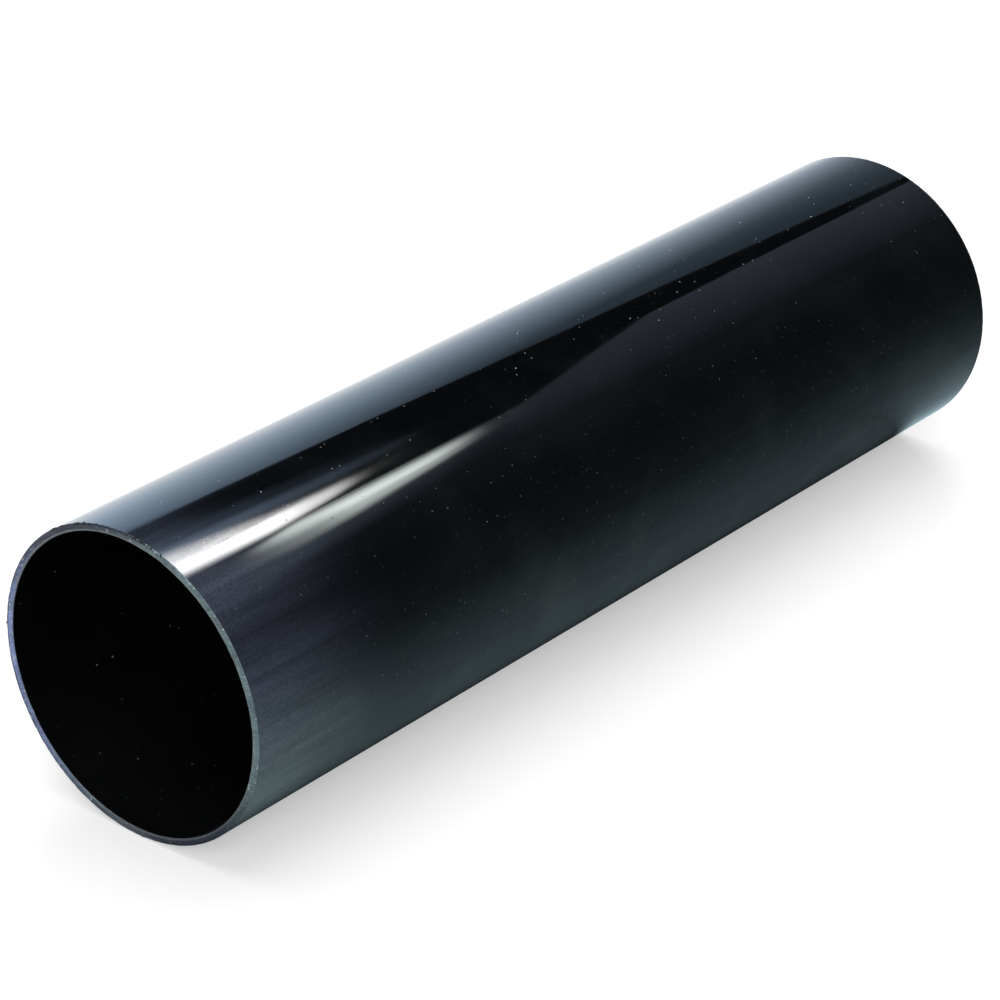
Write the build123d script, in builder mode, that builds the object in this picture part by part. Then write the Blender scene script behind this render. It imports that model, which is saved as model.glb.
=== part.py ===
from build123d import *
import os

# Round rainwater downpipe: a short length of black extruded PVC-U tube, sawn off at both ends.
# It lies on its side along Y, as it rests on a level floor. The origin is on the floor, under the
# middle of the pipe. The end at -Y is the one whose open mouth shows. Sizes are in millimetres.

# The tube's section, set by the extrusion die
outside_diameter = 68.0
wall_thickness = 1.6

# The length that was sawn off, measured along its longest side
pipe_length = 250.0

# The near end was sawn by eye, and runs this many degrees out of square about the vertical.
# Its -X side is the longer one.
near_cut_skew = 1.1

# The sharp saw edges are scraped off with a knife, outside and inside
outer_edge_break = 0.3
bore_edge_break = 0.3

# Stock past the near cut, which the saw takes off: more than the skew leans over the diameter
saw_allowance = 10.0

outside_radius = outside_diameter / 2
bore_radius = outside_radius - wall_thickness

# The planes of the two saw cuts. The far one faces back along the pipe and carries its section,
# and the near one faces out of the mouth, and touches the longest side.
far_cut = Plane(origin=(0, pipe_length / 2, outside_radius), x_dir=(0, 0, 1), z_dir=(0, -1, 0))
mouth_direction = Vector(0, -1, 0).rotate(Axis.Z, near_cut_skew)
near_cut = Plane(origin=(-outside_radius, -pipe_length / 2, outside_radius), z_dir=mouth_direction)

with BuildPart() as pipe:
    # The die's ring, drawn out past the sawn length
    with BuildSketch(far_cut) as die_section:
        Circle(outside_radius)
        Circle(bore_radius, mode=Mode.SUBTRACT)
    extrude(amount=pipe_length + saw_allowance)
    split(bisect_by=near_cut, keep=Keep.BOTTOM)

    # The rims of the two sawn faces, with their sharp edges scraped off
    sawn_faces = pipe.faces().filter_by(GeomType.PLANE)
    outer_rims = [face.outer_wire().edge() for face in sawn_faces]
    bore_rims = [face.inner_wires()[0].edge() for face in sawn_faces]
    chamfer(outer_rims, length=outer_edge_break)
    chamfer(bore_rims, length=bore_edge_break)

pipe.part.label = "pipe"
os.makedirs("parts", exist_ok=True)
export_step(pipe.part, "parts/pipe.step")
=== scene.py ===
from math import cos, radians, sin

import bpy
import numpy as np
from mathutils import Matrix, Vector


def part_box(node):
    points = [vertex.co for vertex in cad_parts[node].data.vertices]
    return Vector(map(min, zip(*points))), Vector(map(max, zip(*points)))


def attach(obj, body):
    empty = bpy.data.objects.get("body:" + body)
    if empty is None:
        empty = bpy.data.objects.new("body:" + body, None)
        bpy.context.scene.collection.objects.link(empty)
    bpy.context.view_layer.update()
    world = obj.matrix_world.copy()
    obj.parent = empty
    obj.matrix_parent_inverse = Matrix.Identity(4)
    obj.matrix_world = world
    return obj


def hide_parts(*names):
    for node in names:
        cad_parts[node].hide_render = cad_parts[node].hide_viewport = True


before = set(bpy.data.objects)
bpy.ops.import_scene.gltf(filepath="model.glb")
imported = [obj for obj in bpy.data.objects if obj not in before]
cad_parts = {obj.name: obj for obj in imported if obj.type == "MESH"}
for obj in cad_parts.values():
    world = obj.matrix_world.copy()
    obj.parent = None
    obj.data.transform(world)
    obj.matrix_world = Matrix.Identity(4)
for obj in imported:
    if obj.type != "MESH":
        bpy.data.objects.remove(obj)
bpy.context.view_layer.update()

# The camera: it looks down into the near mouth from its right, with a short telephoto lens, as the
# photograph was taken. The place and angles are those of a pinhole fitted to the pipe's outline.
camera_place = (0.42903, -0.52116, 0.37234)
camera_azimuth = radians(40.155)
camera_elevation = radians(27.164)

camera_data = bpy.data.cameras.new("camera")
camera_data.lens = 124.4
camera_data.sensor_width = 36.0
camera = bpy.data.objects.new("camera", camera_data)
camera.location = camera_place
camera.rotation_euler = (radians(90) - camera_elevation, 0, camera_azimuth)
bpy.context.scene.collection.objects.link(camera)
bpy.context.scene.camera = camera

# The downpipe: one round tube of black rigid PVC, drawn through a die that leaves a glossy skin with
# faint lengthwise lines. A handsaw cut it off at both ends, and a knife scraped the sharp edges.
outside_radius = 0.034
wall_thickness = 0.0016
pipe_length = 0.25
near_cut_skew = radians(1.1)
edge_break = 0.0003


def add_node(tree, kind, inputs=None, **options):
    """Adds a node, sets its options, and fills or links its inputs, which go by name or number."""
    made = tree.nodes.new(kind)
    for option, value in options.items():
        setattr(made, option, value)
    for socket, value in (inputs or {}).items():
        if isinstance(value, bpy.types.NodeSocket):
            tree.links.new(value, made.inputs[socket])
        else:
            made.inputs[socket].default_value = value
    return made


def calculate(tree, operation, *values):
    """A Math node on one to three values or sockets."""
    return add_node(tree, "ShaderNodeMath", dict(enumerate(values)), operation=operation).outputs[0]


def times(tree, first, second):
    return calculate(tree, "MULTIPLY", first, second)


def calculate_vector(tree, operation, *vectors, **scale):
    """A Vector Math node on vectors or sockets. Returns its outputs, of which the first is a vector."""
    inputs = {**dict(enumerate(vectors)), **scale}
    return add_node(tree, "ShaderNodeVectorMath", inputs, operation=operation).outputs


def split_axes(tree, vector):
    return add_node(tree, "ShaderNodeSeparateXYZ", {0: vector}).outputs


def remap(tree, value, low, high, to_low=0.0, to_high=1.0, curve="SMOOTHSTEP"):
    """A Map Range node, which is smooth at both ends unless another curve is asked for."""
    inputs = {"Value": value, "From Min": low, "From Max": high, "To Min": to_low, "To Max": to_high}
    return add_node(tree, "ShaderNodeMapRange", inputs, interpolation_type=curve).outputs[0]


def new_group(name, kind, inputs, outputs):
    """A node group with named sockets. Returns the tree, its inputs and the node that ends it."""
    tree = bpy.data.node_groups.new(name, kind)
    for side, sockets in (("INPUT", inputs), ("OUTPUT", outputs)):
        for socket_name, socket_type in sockets.items():
            tree.interface.new_socket(socket_name, in_out=side, socket_type="NodeSocket" + socket_type)
    return tree, tree.nodes.new("NodeGroupInput").outputs, tree.nodes.new("NodeGroupOutput")


def noise(tree, vector, scale, detail=2.0, roughness=0.5, **more):
    inputs = {"Vector": vector, "Scale": scale, "Detail": detail, "Roughness": roughness, **more}
    return add_node(tree, "ShaderNodeTexNoise", inputs).outputs[0]


def apply_tree(name, tree, values):
    """Runs a geometry tree with its named inputs, and returns its result as a plain mesh object."""
    carrier = bpy.data.objects.new(name, bpy.data.meshes.new(name + "_carrier"))
    bpy.context.scene.collection.objects.link(carrier)
    modifier = carrier.modifiers.new(name, "NODES")
    modifier.node_group = tree
    for item in tree.interface.items_tree:
        if item.in_out == "INPUT":
            modifier[item.identifier] = values[item.name]
    evaluated = carrier.evaluated_get(bpy.context.evaluated_depsgraph_get())
    mesh = bpy.data.meshes.new_from_object(evaluated)
    mesh.name = name
    carrier.modifiers.remove(modifier)
    carrier.data = mesh
    return carrier


# Lengthwise lines, which the die scores into the plastic as it is drawn through
die_lines, given, result = new_group("die lines", "ShaderNodeTree",
                                     {"Coarse Lines": "Float", "Fine Lines": "Float"}, {"Height": "Float"})
place = add_node(die_lines, "ShaderNodeTexCoord").outputs["Object"]
along_pipe = add_node(die_lines, "ShaderNodeMapping", {"Vector": place, "Scale": (1, 0.012, 1)}).outputs[0]
coarse = noise(die_lines, along_pipe, given["Coarse Lines"], 1.0)
fine = noise(die_lines, along_pipe, given["Fine Lines"], 2.0)
height = calculate(die_lines, "MULTIPLY_ADD", fine, 0.35, coarse)
die_lines.links.new(height, result.inputs["Height"])

# Specks of dust and saw crumbs that cling to the plastic
dust, given, result = new_group("dust", "ShaderNodeTree",
                                {"Spacing": "Float", "Share": "Float", "Speck Size": "Float"},
                                {"Specks": "Float"})
place = add_node(dust, "ShaderNodeTexCoord").outputs["Object"]
wobble = add_node(dust, "ShaderNodeTexNoise", {"Vector": place, "Scale": 1500.0, "Detail": 1.0})
wobble_reach = (0.0004, 0.0004, 0.0004)
bent = calculate_vector(dust, "MULTIPLY_ADD", wobble.outputs["Color"], wobble_reach, place)[0]
per_metre = calculate(dust, "DIVIDE", 1.0, given["Spacing"])
cells = add_node(dust, "ShaderNodeTexVoronoi", {"Vector": bent, "Scale": per_metre})
chance = add_node(dust, "ShaderNodeSeparateColor", {0: cells.outputs["Color"]})
kept = calculate(dust, "LESS_THAN", chance.outputs[0], given["Share"])
reach = calculate(dust, "DIVIDE", given["Speck Size"], given["Spacing"])
reach = times(dust, reach, calculate(dust, "MULTIPLY_ADD", chance.outputs[1], 0.8, 0.2))
inside = calculate(dust, "LESS_THAN", cells.outputs["Distance"], reach)
dust.links.new(times(dust, inside, kept), result.inputs["Specks"])

# Blotches where the pipe was handled: a thin film of grease and fine dust
handling, given, result = new_group("handling", "ShaderNodeTree",
                                    {"Blotch Scale": "Float"}, {"Film": "Float", "Streaks": "Float"})
place = add_node(handling, "ShaderNodeTexCoord").outputs["Object"]
blotches = noise(handling, place, given["Blotch Scale"], 4.0, 0.55, Distortion=0.6)
handling.links.new(remap(handling, blotches, 0.42, 0.68), result.inputs["Film"])
drawn = add_node(handling, "ShaderNodeMapping", {"Vector": place, "Scale": (1, 0.12, 1)}).outputs[0]
streaks = noise(handling, drawn, times(handling, given["Blotch Scale"], 6.0), 3.0)
handling.links.new(remap(handling, streaks, 0.4, 0.75), result.inputs["Streaks"])


def new_material(name):
    material = bpy.data.materials.new(name)
    material.use_nodes = True
    material.node_tree.nodes.clear()
    return material, material.node_tree


def place_group(tree, group, values):
    made = add_node(tree, "ShaderNodeGroup", None, node_tree=group)
    for socket, value in values.items():
        made.inputs[socket].default_value = value
    return made.outputs


def mix_colour(tree, factor, first, second):
    inputs = {"Factor": factor}
    made = add_node(tree, "ShaderNodeMix", inputs, data_type="RGBA")
    for socket, value in ((6, first), (7, second)):
        if isinstance(value, bpy.types.NodeSocket):
            tree.links.new(value, made.inputs[socket])
        else:
            made.inputs[socket].default_value = (*value, 1)
    return made.outputs[2]


def end_material(tree, shader):
    add_node(tree, "ShaderNodeOutputMaterial", {"Surface": shader.outputs[0]})


def add_bump(tree, height, distance, strength, **more):
    inputs = {"Height": height, "Distance": distance, "Strength": strength, **more}
    return add_node(tree, "ShaderNodeBump", inputs).outputs[0]


def end_plastic(tree, colour, roughness, **more):
    """Ends a material as rigid plastic, with its index of refraction."""
    inputs = {"Base Color": colour, "Roughness": roughness, "IOR": 1.5, **more}
    end_material(tree, add_node(tree, "ShaderNodeBsdfPrincipled", inputs))


# The skin: nearly black and glossy, with die lines, a little dust, greasy blotches low down, and a haze
# of rubbed-in saw dust round the cut mouth. Low down, painted floor light lifts the blotches' tone and
# turns the haze lighter and teal.
skin, tree = new_material("glossy skin")
lines = place_group(tree, die_lines, {"Coarse Lines": 420.0, "Fine Lines": 2600.0})
specks = place_group(tree, dust, {"Spacing": 0.0019, "Share": 0.75, "Speck Size": 0.00018})
film = place_group(tree, handling, {"Blotch Scale": 38.0})
place = add_node(tree, "ShaderNodeTexCoord").outputs["Object"]
axes = split_axes(tree, place)
grain = noise(tree, place, 2200.0, 2.0)
low_side = remap(tree, axes["Z"], 0.05, 0.02)
# Partly painted floor light: the greasy blotches weigh most low down, and their pale tone there also
# stands in for light from the floor
handled_and_floor_light = times(tree, film["Film"], calculate(tree, "MULTIPLY_ADD", low_side, 0.85, 0.15))
# The haze reaches 47 mm down the pipe, less far on top, and is thin along a line that a hand wiped
haze_end, past_mouth, wiped_height = -0.078, -0.129, 0.0525
haze = remap(tree, axes["Y"], haze_end, past_mouth)
haze = calculate(tree, "POWER", haze, remap(tree, axes["Z"], 0.062, 0.066, 1.2, 3.5))
wiped = calculate(tree, "ABSOLUTE", calculate(tree, "SUBTRACT", axes["Z"], wiped_height))
haze = times(tree, haze, remap(tree, wiped, 0.0, 0.008, 0.4, 1.0))
haze = times(tree, haze, remap(tree, axes["Z"], 0.0655, 0.0676, 1.0, 0.4))
haze = times(tree, haze, calculate(tree, "MULTIPLY_ADD", film["Streaks"], 0.4, 0.8))
haze = times(tree, haze, remap(tree, grain, 0.3, 0.7, 0.75, 1.15))
haze = times(tree, haze, remap(tree, lines["Height"], 0.5, 0.85, 0.78, 1.2))
fine_specks = place_group(tree, dust, {"Spacing": 0.0014, "Share": 0.5, "Speck Size": 0.00022})
settled = times(tree, fine_specks["Specks"], calculate(tree, "MULTIPLY_ADD", low_side, 0.5, 0.15))
plastic = mix_colour(tree, grain, (0.0005, 0.0008, 0.0012), (0.0026, 0.0030, 0.0036))
# The grease tone is partly painted floor light
grease_and_floor_light, fine_dust = (0.0150, 0.0195, 0.0185), (0.110, 0.130, 0.130)
plastic = mix_colour(tree, handled_and_floor_light, plastic, grease_and_floor_light)
# Painted floor light: the haze's colour turns lighter and teal towards the bottom
low_painted_floor_light = remap(tree, axes["Z"], 0.050, 0.018)
saw_dust_and_floor_light = mix_colour(tree, low_painted_floor_light, (0.056, 0.066, 0.098), (0.105, 0.148, 0.160))
hazed = mix_colour(tree, haze, plastic, saw_dust_and_floor_light)
hazed = mix_colour(tree, settled, hazed, fine_dust)
on_top = remap(tree, axes["Z"], 0.062, 0.067)
fallen = mix_colour(tree, on_top, (0.060, 0.070, 0.070), (0.27, 0.30, 0.31))
colour = mix_colour(tree, specks["Specks"], hazed, fallen)
roughness = calculate(tree, "MULTIPLY_ADD", handled_and_floor_light, 0.08, 0.045)
roughness = calculate(tree, "MULTIPLY_ADD", film["Streaks"], 0.006, roughness)
roughness = calculate(tree, "MULTIPLY_ADD", haze, 0.012, roughness)
scuffed = remap(tree, axes["Y"], -0.085, -0.125)
scuffed = times(tree, scuffed, remap(tree, axes["Z"], 0.0664, 0.0677))
roughness = calculate(tree, "MULTIPLY_ADD", scuffed, 0.06, roughness)
roughness = calculate(tree, "MULTIPLY_ADD", specks["Specks"], 0.4, roughness)
bump = add_bump(tree, lines["Height"], 0.000005, 1.0)
bump = add_bump(tree, specks["Specks"], 0.00005, 0.3, Normal=bump)
end_plastic(tree, colour, roughness, Normal=bump)

# The bore's wall: duller than the skin, because the die's core leaves it less polished
bore_wall, tree = new_material("bore wall")
lines = place_group(tree, die_lines, {"Coarse Lines": 300.0, "Fine Lines": 1600.0})
specks = place_group(tree, dust, {"Spacing": 0.0021, "Share": 0.5, "Speck Size": 0.00025})
film = place_group(tree, handling, {"Blotch Scale": 34.0})
plastic = mix_colour(tree, film["Streaks"], (0.0018, 0.002, 0.0022), (0.0030, 0.0032, 0.0034))
colour = mix_colour(tree, specks["Specks"], plastic, (0.22, 0.25, 0.23))
roughness = calculate(tree, "MULTIPLY_ADD", lines["Height"], 0.05, 0.26)
bump = add_bump(tree, lines["Height"], 0.00001, 1.0)
end_plastic(tree, colour, roughness, Normal=bump)

# The sawn faces and the scraped edges: the saw tears the black plastic to a pale matt grey with scratches,
# flecks and bright nicks, and the knife leaves the outer edge smooth. Light and shade are painted into the
# colour: painted light where the saw's stroke crosses the wall, towards the upper right and the lower
# left, painted shade where it runs along the wall and towards the bottom, painted cool light on the left,
# painted shade on the outer edge at the left and the bottom, and a painted highlight on the bore's edge.
sawn_plastic, tree = new_material("sawn plastic")
place = add_node(tree, "ShaderNodeTexCoord").outputs["Object"]
axes = split_axes(tree, place)
from_axis = calculate_vector(tree, "SUBTRACT", place, (0, 0, outside_radius))[0]
from_axis = calculate_vector(tree, "MULTIPLY", from_axis, (1, 0, 1))[0]
radius = calculate_vector(tree, "LENGTH", from_axis)["Value"]
wander = calculate(tree, "MULTIPLY_ADD", noise(tree, place, 700.0, 3.0, 0.6), 0.0003, radius)
bore_radius = outside_radius - wall_thickness
outer_edge = remap(tree, wander, outside_radius - 0.0006, outside_radius - 0.00015)
bore_edge = remap(tree, wander, bore_radius + 0.0007, bore_radius + 0.0004)
saw_stroke = radians(30)
stroke_direction = (cos(saw_stroke), 0, sin(saw_stroke))
# Painted light and shade round the ring: paler where the saw's stroke crosses the wall, darker where it
# runs along it
along_stroke = calculate_vector(tree, "DOT_PRODUCT", from_axis, stroke_direction)["Value"]
painted_light_round_ring = calculate(tree, "ABSOLUTE", calculate(tree, "DIVIDE", along_stroke, radius))
stroke = add_node(tree, "ShaderNodeMapping", {"Vector": place, "Rotation": (0, saw_stroke, 0),
                                              "Scale": (0.25, 1, 1)}).outputs[0]
scratches = remap(tree, noise(tree, stroke, 2400.0, 3.0, 0.7), 0.3, 0.7)
torn = noise(tree, place, 2600.0, 2.0, 0.6)
patches = remap(tree, noise(tree, place, 190.0, 3.0, 0.6), 0.36, 0.62, 0.6, 1.0)
pale = times(tree, remap(tree, painted_light_round_ring, 0.15, 0.9, 0.06, 1.0), patches)
pale = times(tree, pale, calculate(tree, "MULTIPLY_ADD", scratches, 0.7, 0.5))
# Painted shade: the sawn face darkens towards the bottom
pale = times(tree, pale, remap(tree, axes["Z"], 0.0, 0.034, 0.4, 1.0))
# Painted cool light: the torn grey turns blue on the left side
far_side = remap(tree, axes["X"], -0.008, -0.028)
torn_grey_and_cool_light = mix_colour(tree, far_side, (0.225, 0.335, 0.35), (0.33, 0.44, 0.86))
# The painted shade's grey, the bore edge's painted highlight and the outer edge's painted shade
painted_shade_grey, painted_edge_highlight, painted_edge_shade = (0.028, 0.034, 0.048), (0.28, 0.31, 0.34), (0.018, 0.026, 0.060)
bright_nick, torn_fleck = (0.56, 0.63, 0.62), (0.42, 0.46, 0.46)
colour = mix_colour(tree, pale, painted_shade_grey, torn_grey_and_cool_light)
# Painted highlight: the bore's edge is painted pale, brightest towards the top
bore_edge = times(tree, bore_edge, remap(tree, axes["Z"], 0.026, 0.060, 0.25, 0.8))
colour = mix_colour(tree, bore_edge, colour, painted_edge_highlight)
# Painted shade: the outer edge is painted dark on the left and at the bottom
shaded_edge_side = remap(tree, axes["X"], 0.010, -0.004, 0.15, 0.92)
shaded_edge_side = calculate(tree, "MAXIMUM", shaded_edge_side, remap(tree, axes["Z"], 0.018, 0.005, 0.0, 0.75))
colour = mix_colour(tree, times(tree, outer_edge, shaded_edge_side), colour, painted_edge_shade)
nicks = remap(tree, noise(tree, place, 1300.0, 2.0), 0.62, 0.74)
# The bright nicks show most where the painted light falls
nicks = times(tree, nicks, remap(tree, pale, 0.0, 0.4, 0.2, 1.0))
colour = mix_colour(tree, nicks, colour, bright_nick)
colour = mix_colour(tree, remap(tree, torn, 0.66, 0.74, 0.0, 0.4), colour, torn_fleck)
roughness = remap(tree, outer_edge, 0.0, 1.0, 0.6, 0.38)
bump = add_bump(tree, calculate(tree, "ADD", scratches, torn), 0.0001, 0.8)
end_plastic(tree, colour, roughness, Normal=bump)

# The tube is swept: a ring of the mean radius carries the wall's long thin section round the bore
tube, given, result = new_group("extruded tube", "GeometryNodeTree", {
    "Outside Radius": "Float", "Wall": "Float", "Length": "Float", "Near Cut Skew": "Float",
    "Edge Break": "Float", "Sides": "Int", "Face Row": "Float", "Skin Rows": "Int", "Saw Relief": "Float",
    "Rag": "Float", "Draw Wave": "Float", "Seed": "Float", "Skin": "Material", "Bore": "Material",
    "Sawn": "Material"}, {"Geometry": "Geometry"})
mean_radius = calculate(tube, "MULTIPLY_ADD", given["Wall"], -0.5, given["Outside Radius"])
ring = add_node(tube, "GeometryNodeCurvePrimitiveCircle", {
    "Resolution": given["Sides"], "Radius": mean_radius})
section = add_node(tube, "GeometryNodeCurvePrimitiveQuadrilateral",
                   {"Width": given["Wall"], "Height": given["Length"]})
broken = add_node(tube, "GeometryNodeFilletCurve", {"Curve": section.outputs[0], "Count": 2,
                                                    "Radius": given["Edge Break"]}, mode="POLY")
# Each run of the section is cut into rows: close ones across the sawn faces, wide ones along the pipe
point = add_node(tube, "GeometryNodeInputPosition").outputs[0]
next_point = add_node(tube, "GeometryNodeOffsetPointInCurve", {"Offset": 1}).outputs["Point Index"]
next_place = add_node(tube, "GeometryNodeFieldAtIndex", {"Index": next_point, "Value": point},
                      data_type="FLOAT_VECTOR")
run = calculate_vector(tube, "DISTANCE", point, next_place.outputs[0])["Value"]
rows = calculate(tube, "DIVIDE", run, given["Face Row"])
rows = calculate(tube, "MINIMUM", rows, given["Skin Rows"])
cut_section = add_node(tube, "GeometryNodeSubdivideCurve", {"Curve": broken.outputs[0], "Cuts": rows})
swept = add_node(tube, "GeometryNodeCurveToMesh", {"Curve": ring.outputs[0],
                                                   "Profile Curve": cut_section.outputs[0]})
axis_height = add_node(tube, "ShaderNodeCombineXYZ", {"Z": given["Outside Radius"]}).outputs[0]
laid = add_node(tube, "GeometryNodeTransform", {
    "Geometry": swept.outputs[0], "Rotation": (radians(-90), 0, 0), "Translation": axis_height})
# The near cut leans: rows move along the pipe by how far they are from its long side, and by less
# towards the far end
axes = split_axes(tube, point)
from_long_side = calculate(tube, "ADD", axes["X"], given["Outside Radius"])
lean = times(tube, from_long_side, calculate(tube, "TANGENT", given["Near Cut Skew"]))
to_near_end = calculate(tube, "SUBTRACT", 0.5, calculate(tube, "DIVIDE", axes["Y"], given["Length"]))
lean = times(tube, lean, to_near_end)
leaned = add_node(tube, "GeometryNodeSetPosition", {
    "Geometry": laid.outputs[0],
    "Offset": add_node(tube, "ShaderNodeCombineXYZ", {"Y": lean}).outputs[0]})
# Relief, always into the plastic: saw scores on the cut faces, rag on the scraped edges, and long
# shallow waves in the skin from the draw
normal = add_node(tube, "GeometryNodeInputNormal").outputs[0]
facing = calculate(tube, "ABSOLUTE", split_axes(tube, normal)["Y"])
seed_shift = add_node(tube, "ShaderNodeCombineXYZ", {"Y": given["Seed"]}).outputs[0]
seeded = calculate_vector(tube, "ADD", point, seed_shift)[0]
score_turn = radians(24)
stroke = add_node(tube, "ShaderNodeVectorRotate", {"Vector": seeded, "Angle": score_turn},
                  rotation_type="Y_AXIS").outputs[0]
stroke = calculate_vector(tube, "MULTIPLY", stroke, (0.12, 1, 1))[0]
scores = times(tube, noise(tube, stroke, 1500.0, 2.0), given["Saw Relief"])
scores = times(tube, scores, remap(tube, facing, 0.3, 0.9))
nicks = remap(tube, noise(tube, seeded, 420.0, 4.0, 0.65), 0.45, 0.75)
edge = calculate(tube, "PINGPONG", times(tube, facing, 2.0), 1.0)
rag = times(tube, times(tube, nicks, edge), given["Rag"])
drawn = calculate_vector(tube, "MULTIPLY", seeded, (1, 0.3, 1))[0]
waves = times(tube, noise(tube, drawn, 45.0, 1.0), given["Draw Wave"])
waves = times(tube, waves, calculate(tube, "SUBTRACT", 1.0, facing))
depth = times(tube, calculate(tube, "ADD", scores, waves), -1.0)
inward = calculate_vector(tube, "SCALE", normal, Scale=depth)[0]
# The rag bites along the pipe, and on the scraped edges alone also across the wall, so that the skin
# stays true up to its edge
back = times(tube, rag, -1.0)
to_middle = times(tube, calculate(tube, "SIGN", axes["Y"]), back)
across_wall = calculate_vector(tube, "MULTIPLY", normal, (1, 0, 1))[0]
across = times(tube, back, remap(tube, facing, 0.5, 0.8))
across_wall = calculate_vector(tube, "SCALE", across_wall, Scale=across)[0]
along_pipe = add_node(tube, "ShaderNodeCombineXYZ", {"Y": to_middle}).outputs[0]
bite = calculate_vector(tube, "ADD", across_wall, along_pipe)[0]
inward = calculate_vector(tube, "ADD", inward, bite)[0]
relieved = add_node(tube, "GeometryNodeSetPosition", {"Geometry": leaned.outputs[0], "Offset": inward})
edge_angle = add_node(tube, "GeometryNodeInputMeshEdgeAngle").outputs[0]
crease_angle = radians(12)
crease = calculate(tube, "GREATER_THAN", edge_angle, crease_angle)
smooth = add_node(tube, "GeometryNodeSetShadeSmooth", {
    "Geometry": relieved.outputs[0], "Selection": crease, "Shade Smooth": False}, domain="EDGE")
whole = add_node(tube, "GeometryNodeRealizeInstances", {"Geometry": smooth.outputs[0]})
# The bore faces the axis, and the sawn plastic faces along it
from_axis = calculate_vector(tube, "SUBTRACT", point, axis_height)[0]
from_axis = calculate_vector(tube, "MULTIPLY", from_axis, (1, 0, 1))[0]
outward = calculate_vector(tube, "DOT_PRODUCT", from_axis, normal)["Value"]
into_bore = calculate(tube, "LESS_THAN", outward, 0.0)
on_face = calculate(tube, "GREATER_THAN", facing, 0.3)
finished = whole.outputs[0]
for surface, chosen in (("Skin", True), ("Bore", into_bore), ("Sawn", on_face)):
    finished = add_node(tube, "GeometryNodeSetMaterial", {"Geometry": finished, "Selection": chosen,
                                                          "Material": given[surface]}).outputs[0]
tube.links.new(finished, result.inputs[0])

downpipe = apply_tree("downpipe", tube, {
    "Outside Radius": outside_radius, "Wall": wall_thickness, "Length": pipe_length,
    "Near Cut Skew": near_cut_skew, "Edge Break": edge_break, "Sides": 720, "Face Row": 0.0002,
    "Skin Rows": 32, "Saw Relief": 0.00006, "Rag": 0.00022, "Draw Wave": 0.00002, "Seed": 0.37,
    "Skin": skin, "Bore": bore_wall, "Sawn": sawn_plastic})
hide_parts("pipe")
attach(downpipe, "root")

# The burrs: dark shreds of plastic that the saw left hanging along the top of the near cut's outer edge.
# They are scattered on rings that run along the scraped edges of both cuts, with few of them elsewhere.
burr_plastic, tree = new_material("burr plastic")
place = add_node(tree, "ShaderNodeTexCoord").outputs["Object"]
colour = mix_colour(tree, noise(tree, place, 2000.0, 2.0), (0.006, 0.008, 0.008), (0.032, 0.040, 0.038))
roughness = remap(tree, noise(tree, place, 900.0), 0.3, 0.7, 0.35, 0.6)
end_plastic(tree, colour, roughness)
burrs, given, result = new_group("saw burrs", "GeometryNodeTree", {
    "Outside Radius": "Float", "Length": "Float", "Near Cut Skew": "Float", "Places": "Int",
    "Burr Length": "Float", "Room Low": "Vector", "Room High": "Vector", "Seed": "Int",
    "Burr": "Material"}, {"Geometry": "Geometry"})
inside_skin, inside_cut = 0.00006, 0.0001
rim_radius = calculate(burrs, "SUBTRACT", given["Outside Radius"], inside_skin)
rim = add_node(burrs, "GeometryNodeCurvePrimitiveCircle", {
    "Resolution": 360, "Radius": rim_radius}).outputs[0]
half_length = times(burrs, given["Length"], 0.5)
edges = add_node(burrs, "GeometryNodeJoinGeometry")
for near_or_far in (-1.0, 1.0):
    along = times(burrs, calculate(burrs, "SUBTRACT", half_length, inside_cut), near_or_far)
    middle = add_node(burrs, "ShaderNodeCombineXYZ", {"Y": along, "Z": given["Outside Radius"]}).outputs[0]
    stood = add_node(burrs, "GeometryNodeTransform", {
        "Geometry": rim, "Rotation": (radians(90), 0, 0), "Translation": middle})
    burrs.links.new(stood.outputs[0], edges.inputs[0])
spots = add_node(burrs, "GeometryNodeCurveToPoints", {"Curve": edges.outputs[0], "Count": given["Places"]})
point = add_node(burrs, "GeometryNodeInputPosition").outputs[0]
axes = split_axes(burrs, point)
near_end = calculate(burrs, "LESS_THAN", axes["Y"], 0.0)
top_share = times(burrs, remap(burrs, axes["Z"], 0.057, 0.064), near_end)
top_share = times(burrs, top_share, remap(burrs, axes["X"], 0.013, 0.002, 0.02, 1.0))
top_share = times(burrs, top_share, remap(burrs, axes["X"], -0.022, -0.012, 0.05, 1.0))
share = calculate(burrs, "MULTIPLY_ADD", top_share, 0.9, 0.004)
share = times(burrs, share, remap(burrs, noise(burrs, point, 160.0, 2.0), 0.3, 0.6, 0.1, 1.0))
draw = add_node(burrs, "FunctionNodeRandomValue", {"Seed": given["Seed"]}, data_type="FLOAT").outputs[1]
bare = calculate(burrs, "GREATER_THAN", draw, share)
spots = add_node(burrs, "GeometryNodeDeleteGeometry", {"Geometry": spots.outputs[0], "Selection": bare})
from_long_side = calculate(burrs, "ADD", axes["X"], given["Outside Radius"])
lean = times(burrs, from_long_side, calculate(burrs, "TANGENT", given["Near Cut Skew"]))
lean = times(burrs, lean, near_end)
leaned = add_node(burrs, "ShaderNodeCombineXYZ", {"Y": lean}).outputs[0]
spots = add_node(burrs, "GeometryNodeSetPosition", {"Geometry": spots.outputs[0], "Offset": leaned})
shred = add_node(burrs, "GeometryNodeMeshIcoSphere", {"Radius": 1.0, "Subdivisions": 1})
bulge = calculate(burrs, "MULTIPLY_ADD", noise(burrs, point, 1.6, 3.0), 1.6, -0.8)
tatter = calculate_vector(burrs, "SCALE", point, Scale=bulge)[0]
shred = add_node(burrs, "GeometryNodeSetPosition", {"Geometry": shred.outputs[0], "Offset": tatter})
full_turn = (6.3, 6.3, 6.3)
smallest, largest = (0.3, 0.15, 0.10), (1.0, 0.45, 0.35)
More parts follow.
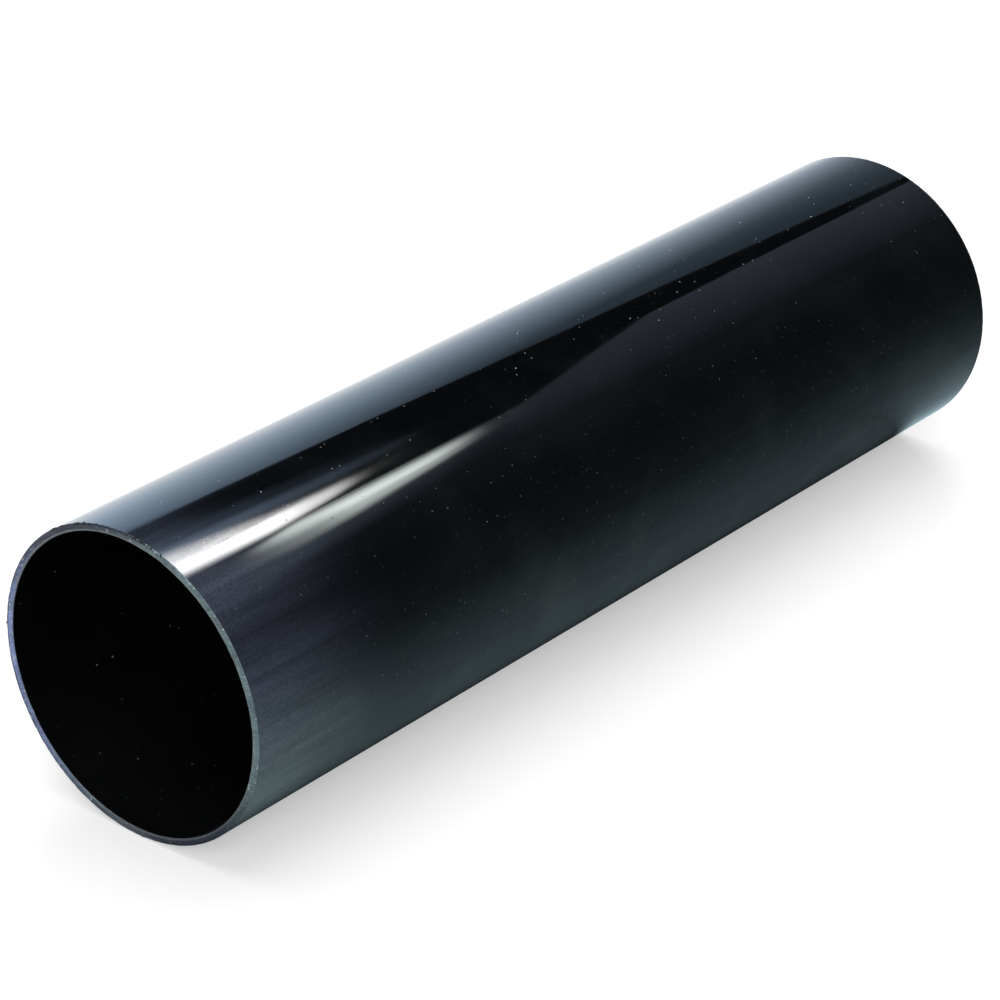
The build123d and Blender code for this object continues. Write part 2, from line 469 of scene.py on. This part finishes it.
turn_seed, size_seed = [calculate(burrs, "ADD", given["Seed"], step) for step in (1.0, 2.0)]
turn = add_node(burrs, "FunctionNodeRandomValue", {0: (0.0, 0.0, 0.0), 1: full_turn, "Seed": turn_seed},
                data_type="FLOAT_VECTOR").outputs[0]
size = add_node(burrs, "FunctionNodeRandomValue", {0: smallest, 1: largest, "Seed": size_seed},
                data_type="FLOAT_VECTOR").outputs[0]
size = calculate_vector(burrs, "SCALE", size, Scale=given["Burr Length"])[0]
hung = add_node(burrs, "GeometryNodeInstanceOnPoints", {
    "Points": spots.outputs[0], "Instance": shred.outputs[0], "Rotation": turn, "Scale": size})
whole = add_node(burrs, "GeometryNodeRealizeInstances", {"Geometry": hung.outputs[0]})
kept_in = calculate_vector(burrs, "MAXIMUM", point, given["Room Low"])[0]
kept_in = calculate_vector(burrs, "MINIMUM", kept_in, given["Room High"])[0]
kept_in = add_node(burrs, "GeometryNodeSetPosition", {"Geometry": whole.outputs[0], "Position": kept_in})
finished = add_node(burrs, "GeometryNodeSetMaterial", {
    "Geometry": kept_in.outputs[0], "Material": given["Burr"]})
burrs.links.new(finished.outputs[0], result.inputs[0])

room_low, room_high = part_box("pipe")
saw_burrs = apply_tree("saw_burrs", burrs, {
    "Outside Radius": outside_radius, "Length": pipe_length, "Near Cut Skew": near_cut_skew, "Places": 900,
    "Burr Length": 0.0006, "Room Low": room_low, "Room High": room_high, "Seed": 5, "Burr": burr_plastic})
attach(saw_burrs, "root")

# The floor: a level pale surface. It keeps the soft shadow close under the pipe, and turns to the
# white of the surroundings further out.
floor_reach = 6.0
floor_mesh = bpy.data.meshes.new("floor")
floor_signs = ((-1, -1), (1, -1), (1, 1), (-1, 1))
floor_corners = [(x * floor_reach, y * floor_reach, 0) for x, y in floor_signs]
floor_mesh.from_pydata(floor_corners, [], [(0, 1, 2, 3)])
floor = bpy.data.objects.new("floor", floor_mesh)
bpy.context.scene.collection.objects.link(floor)


def seen_rays(tree):
    """1 for a ray that sees or mirrors a surface, and 0 for one that gathers its light."""
    rays = add_node(tree, "ShaderNodeLightPath").outputs
    seen = calculate(tree, "MAXIMUM", rays["Is Camera Ray"], rays["Is Glossy Ray"])
    return calculate(tree, "MAXIMUM", seen, rays["Is Transmission Ray"])


pale_floor, tree = new_material("pale floor")
place = add_node(tree, "ShaderNodeTexCoord").outputs["Object"]
distance = calculate_vector(tree, "LENGTH", place)["Value"]
shadow_reach, white_reach = 0.2, 0.6
far_out = remap(tree, distance, shadow_reach, white_reach)
seen = seen_rays(tree)
floor_grey, floor_lift = (0.8, 0.8, 0.8, 1), 0.42
matt = add_node(tree, "ShaderNodeBsdfDiffuse", {"Color": floor_grey})
white = (1, 1, 1, 1)
lift = add_node(tree, "ShaderNodeEmission", {"Color": white, "Strength": times(tree, seen, floor_lift)})
close = add_node(tree, "ShaderNodeAddShader", {0: matt.outputs[0], 1: lift.outputs[0]})
beyond = add_node(tree, "ShaderNodeEmission", {"Color": white, "Strength": seen})
blend = add_node(tree, "ShaderNodeMixShader", {0: far_out, 1: close.outputs[0], 2: beyond.outputs[0]})
end_material(tree, blend)
floor_mesh.materials.append(pale_floor)

# The world: white where it is seen or reflected, and a plain dim fill as a light
world = bpy.data.worlds.new("studio")
bpy.context.scene.world = world
world.use_nodes = True
tree = world.node_tree
tree.nodes.clear()
dim_fill = 0.35
strength = remap(tree, seen_rays(tree), 0.0, 1.0, dim_fill, 1.0, "LINEAR")
sky = add_node(tree, "ShaderNodeBackground", {"Color": white, "Strength": strength})
add_node(tree, "ShaderNodeOutputWorld", {"Surface": sky.outputs[0]})

# The lamps: soft squares overhead and on both sides, level enough that a colour renders as written
for lamp_name, lamp_place, lamp_size, power in (
        ("overhead lamp", (0.0, 0.0, 2.0), 1.6, 15.0),
        ("mouth lamp", (1.2, -1.5, 1.3), 1.2, 18.0),
        ("far lamp", (-1.2, 1.5, 1.3), 1.2, 14.0)):
    lamp_data = bpy.data.lights.new(lamp_name, "AREA")
    lamp_data.size = lamp_size
    lamp_data.energy = power
    lamp = bpy.data.objects.new(lamp_name, lamp_data)
    lamp.location = lamp_place
    lamp.rotation_euler = lamp.location.to_track_quat("Z", "Y").to_euler()
    lamp.visible_camera = False
    lamp.visible_glossy = False
    bpy.context.scene.collection.objects.link(lamp)

# The cards: panels round the pipe that only its gloss shows. Dark ones keep most of it black, and lights
# hung over them draw its highlights. All but the floor's and the back's stand twice, the second turned
# half way round, so that the pipe looks alike from behind.
card_glow, tree = new_material("card glow")
corner_glow = add_node(tree, "ShaderNodeAttribute", None, attribute_name="glow").outputs["Color"]
end_material(tree, add_node(tree, "ShaderNodeEmission", {"Color": corner_glow, "Strength": 1.0}))
light_glow, tree = new_material("light glow")
corner_glow = add_node(tree, "ShaderNodeAttribute", None, attribute_name="glow").outputs["Color"]
glow = add_node(tree, "ShaderNodeEmission", {"Color": corner_glow, "Strength": 1.0})
clear = add_node(tree, "ShaderNodeBsdfTransparent")
end_material(tree, add_node(tree, "ShaderNodeAddShader", {0: glow.outputs[0], 1: clear.outputs[0]}))
for material in (card_glow, light_glow):
    material.cycles.emission_sampling = "NONE"


def fill_between(corners, axis, softly):
    """Cuts the run between each two corners along an axis. Its glow can start and stop softly."""
    cuts = 12
    corners = np.moveaxis(corners, axis, 0)
    share = np.arange(cuts).reshape(-1, 1, 1) / cuts
    eased = share ** 2 * (3 - 2 * share) if softly else share
    share = np.concatenate([share.repeat(3, axis=2), eased.repeat(3, axis=2)], axis=2)
    runs = [start + share * (end - start) for start, end in zip(corners[:-1], corners[1:])]
    return np.moveaxis(np.concatenate([*runs, corners[-1:]]), 0, axis)


def stand_card(name, rows, tints, light=False, both_sides=True):
    """Stands a card on rows of corners (x, y, z, glow), each tinted by its order in the row. A light's
    glow fades softly from corner to corner, and adds to what is behind it."""
    rows = np.array(rows, float)
    corners = np.concatenate([rows[..., :3], rows[..., 3:] * np.array(tints, float)], axis=2)
    corners = fill_between(fill_between(corners, 0, light), 1, light)
    height, width = corners.shape[:2]
    faces = [(i, i + 1, i + 1 + width, i + width) for row in range(height - 1)
             for i in range(row * width, row * width + width - 1)]
    corners = corners.reshape(-1, 6)
    for turn, side in ((1, "front"), (-1, "back"))[:1 + both_sides]:
        mesh = bpy.data.meshes.new(name)
        mesh.from_pydata((corners[:, :3] * (turn, turn, 1)).tolist(), [], faces)
        glows = mesh.color_attributes.new("glow", "FLOAT_COLOR", "POINT")
        opaque = np.insert(corners[:, 3:], 3, 1.0, axis=1).astype(np.float32)
        glows.data.foreach_set("color", opaque.ravel())
        mesh.materials.append(light_glow if light else card_glow)
        card = bpy.data.objects.new(f"{name}_{side}", mesh)
        bpy.context.scene.collection.objects.link(card)
        for ray in ("camera", "diffuse", "transmission", "volume_scatter", "shadow"):
            setattr(card, "visible_" + ray, False)


def level(height, rows):
    """Rows of corners (x, y, glow), all put at one height."""
    return [[(x, y, height, glow) for x, y, glow in row] for row in rows]


def hang_light(name, rows, tints):
    """Hangs a light over the pipe from rows of corners (x, y, glow)."""
    light_height = 1.19
    stand_card(name, level(light_height, rows), tints, light=True)


neutral, cool, teal = (1, 1, 1), (0.84, 1.0, 1.3), (0.72, 1.0, 1.12)
cool_white, greenish, slate = (0.86, 1.0, 1.13), (0.92, 1.0, 0.97), (0.74, 1.0, 1.42)
flag_height, tent_height = 1.20, 1.21
sweep_height, mat_height, back_mat_height, glint_height = 0.0005, 0.001, 0.0015, 0.002
# The dark tent stands on the mouth's side: a wall and a ceiling, whose glow grows towards its open edge
tent = [(1.6, 0, 0.085), (1.6, 0.7, 0.055), (1.6, tent_height, 0.055), (0.62, tent_height, 0.09),
        (0.15, tent_height, 0.24), (-0.10, tent_height, 0.30), (-0.30, tent_height, 0.33)]
tent_rows = ((-0.6, 1.0), (1.3, 1.0), (3.2, 0.5))
stand_card("dark_tent", [[(x, y, z, glow * share) for x, z, glow in tent] for y, share in tent_rows],
           [cool] * len(tent))
# The floor mats lie beside the pipe, and their glow is the shaded floor that the gloss mirrors, with the
# pipe's
# shadow painted in: darkest close under it, palest a hand's breadth away
painted_floor_shade = [(0.0, 0.01), (0.018, 0.02), (0.026, 0.09), (0.037, 0.17), (0.052, 0.21), (0.080, 0.19),
        (0.150, 0.12), (0.400, 0.095), (1.6, 0.085)]
mat_rows = ((-0.9, 1.0), (-0.13, 2.0), (0.0, 1.35), (0.12, 1.0), (3.2, 0.8))
painted_floor_shade = [[(x, y, glow * share) for x, glow in painted_floor_shade] for y, share in mat_rows]
stand_card("floor_shadow_mat", level(mat_height, painted_floor_shade), [teal] * len(painted_floor_shade[0]), both_sides=False)
# Behind the pipe, where only the view from the back finds them, are a narrow mat and a soft horizon.
# The mat's glow has the pipe's shadow on the floor painted in, darkest at the pipe.
back_shadow_mat = [(-0.084, 1.0), (-0.060, 0.50), (-0.045, 0.26), (-0.034, 0.12), (-0.020, 0.03), (0.0, 0.01)]
back_shadow_mat = [[(x, y, glow) for x, glow in back_shadow_mat] for y in (-0.3, 0.13)]
stand_card("back_shadow_mat", level(back_mat_height, back_shadow_mat), [neutral] * len(back_shadow_mat[0]), both_sides=False)
horizon_place = -1.55
horizon = [(0, 1.30), (0.15, 0.75), (0.45, 0.25), (0.9, 0.06)]
stand_card("back_horizon", [[(horizon_place, y, z, glow) for z, glow in horizon] for y in (-3.2, 1.0)],
           [cool] * len(horizon), both_sides=False)
# Past the far end the floor is lit again
stand_card("far_glint", level(glint_height, [
    [(0.015, 0.1165, 0.017), (0.028, 0.114, 0.105), (0.055, 0.108, 0.208), (0.1, 0.10, 0.168)],
    [(0.015, 0.1225, 0.70), (0.028, 0.123, 0.42), (0.055, 0.134, 0.24), (0.1, 0.14, 0.168)],
    [(0.015, 0.300, 1.90), (0.028, 0.300, 1.45), (0.055, 0.300, 0.28), (0.1, 0.30, 0.160)]]),
    [teal] * 4, both_sides=False)
# The overhead flag, whose far edge bounds the black band along the top of the pipe
flag = [(-1.9, 1.10), (-1.396, 1.231), (-0.807, 1.40), (-0.414, 1.632), (-0.274, 1.75), (-0.273, 1.25),
        (-0.095, 1.15), (0.112, 1.07)]
flag_rows = ((0.0, 0.10), (0.4, 0.012), (1.0, 0.012))
flag = [[(x, y * share, glow) for x, y in flag] for share, glow in flag_rows]
stand_card("overhead_flag", level(flag_height, flag), [cool] * len(flag[0]))
# The strip light over the pipe tapers to a point, and its long edge is softer than its short one
hang_light("strip_light", [
    [(-0.60, 0.40, 0), (-0.10, 0.35, 25), (-0.035, 0.35, 25), (0.14, 0.36, 0)],
    [(-0.46, 0.79, 0), (-0.09, 0.73, 25), (-0.03, 0.73, 25), (0.155, 0.74, 0)],
    [(-0.22, 0.84, 0), (-0.018, 0.82, 24), (0.04, 0.82, 24), (0.165, 0.83, 0)],
    [(-0.165, 0.88, 0), (-0.012, 0.87, 12.5), (0.014, 0.87, 12.5), (0.11, 0.875, 0)],
    [(-0.11, 0.915, 0), (-0.037, 0.911, 0), (-0.012, 0.911, 0), (0.021, 0.911, 0)]],
    [cool_white, neutral, neutral, cool_white])
# The second light, beside its tip, is long and narrow with a wide skirt on one side
hang_light("second_light", [
    [(0.180, 0.80, 0), (0.258, 0.81, 0), (0.346, 0.82, 0), (0.48, 0.84, 0), (0.8, 0.9, 0)],
    [(0.09, 0.842, 0), (0.196, 0.852, 12), (0.386, 0.892, 3.4), (0.57, 0.935, 0.5), (0.95, 1.03, 0)],
    [(0.09, 0.892, 0), (0.248, 0.912, 15.5), (0.355, 0.937, 8.5), (0.50, 0.98, 0.4), (0.90, 1.07, 0)],
    [(0.09, 0.952, 0), (0.244, 0.970, 13.5), (0.31, 0.985, 7), (0.404, 1.01, 0.2), (0.85, 1.11, 0)],
    [(0.09, 1.027, 0), (0.182, 1.037, 0), (0.237, 1.047, 0), (0.301, 1.061, 0), (0.8, 1.16, 0)]],
    [greenish, greenish, greenish, cool, cool])
# A faint halo runs beside both
hang_light("light_halo", [
    [(-1.02, 0.60, 0), (-0.54, 0.40, 0.6), (-0.35, 0.36, 1.6), (-0.09, 0.35, 0)],
    [(-1.02, 1.01, 0), (-0.54, 0.817, 0.55), (-0.35, 0.767, 1.6), (-0.09, 0.732, 0)],
    [(-0.76, 0.97, 0), (-0.467, 0.862, 0.35), (-0.33, 0.83, 1.35), (-0.09, 0.80, 0)],
    [(-0.62, 0.995, 0), (-0.396, 0.923, 0.12), (-0.241, 0.889, 0.72), (-0.09, 0.872, 0)],
    [(-0.49, 1.01, 0), (-0.35, 0.97, 0.04), (-0.241, 0.947, 0.28), (-0.115, 0.931, 0)],
    [(-0.40, 1.04, 0), (-0.31, 1.02, 0), (-0.24, 1.005, 0), (-0.136, 0.99, 0)]],
    [slate] * 4)
# The backdrop behind the pipe, brightest on its left and fading upwards, and the pale floor before it
backdrop_place = 2.0
backdrop_heights = (0, 1.4, 2.3)
backdrop = ((-3.2, (1.60, 2.15, 2.30)), (-1.3, (0.80, 0.30, 0.30)), (-0.3, (0.60, 0.22, 0.20)))
stand_card("backdrop", [[(x, backdrop_place, z, glow) for z, glow in zip(backdrop_heights, glows)]
                        for x, glows in backdrop],
           [(0.86, 1.0, 1.18), (0.70, 1.0, 1.30), (0.74, 1.0, 1.45)])
stand_card("pale_sweep", level(sweep_height, [
    [(-0.09, -0.10, 1.15), (-0.18, -0.02, 1.24), (-0.41, 0.13, 1.42), (-2.95, 2.0, 1.60)],
    [(-0.09, 0.30, 1.15), (-0.18, 0.38, 1.12), (-0.41, 0.66, 1.00), (-1.45, 2.0, 0.92)]]),
    [(0.94, 1.0, 1.05), (0.93, 1.0, 1.06), (0.91, 1.0, 1.10), (0.86, 1.0, 1.18)])

view = bpy.context.scene.view_settings
view.view_transform = "Standard"
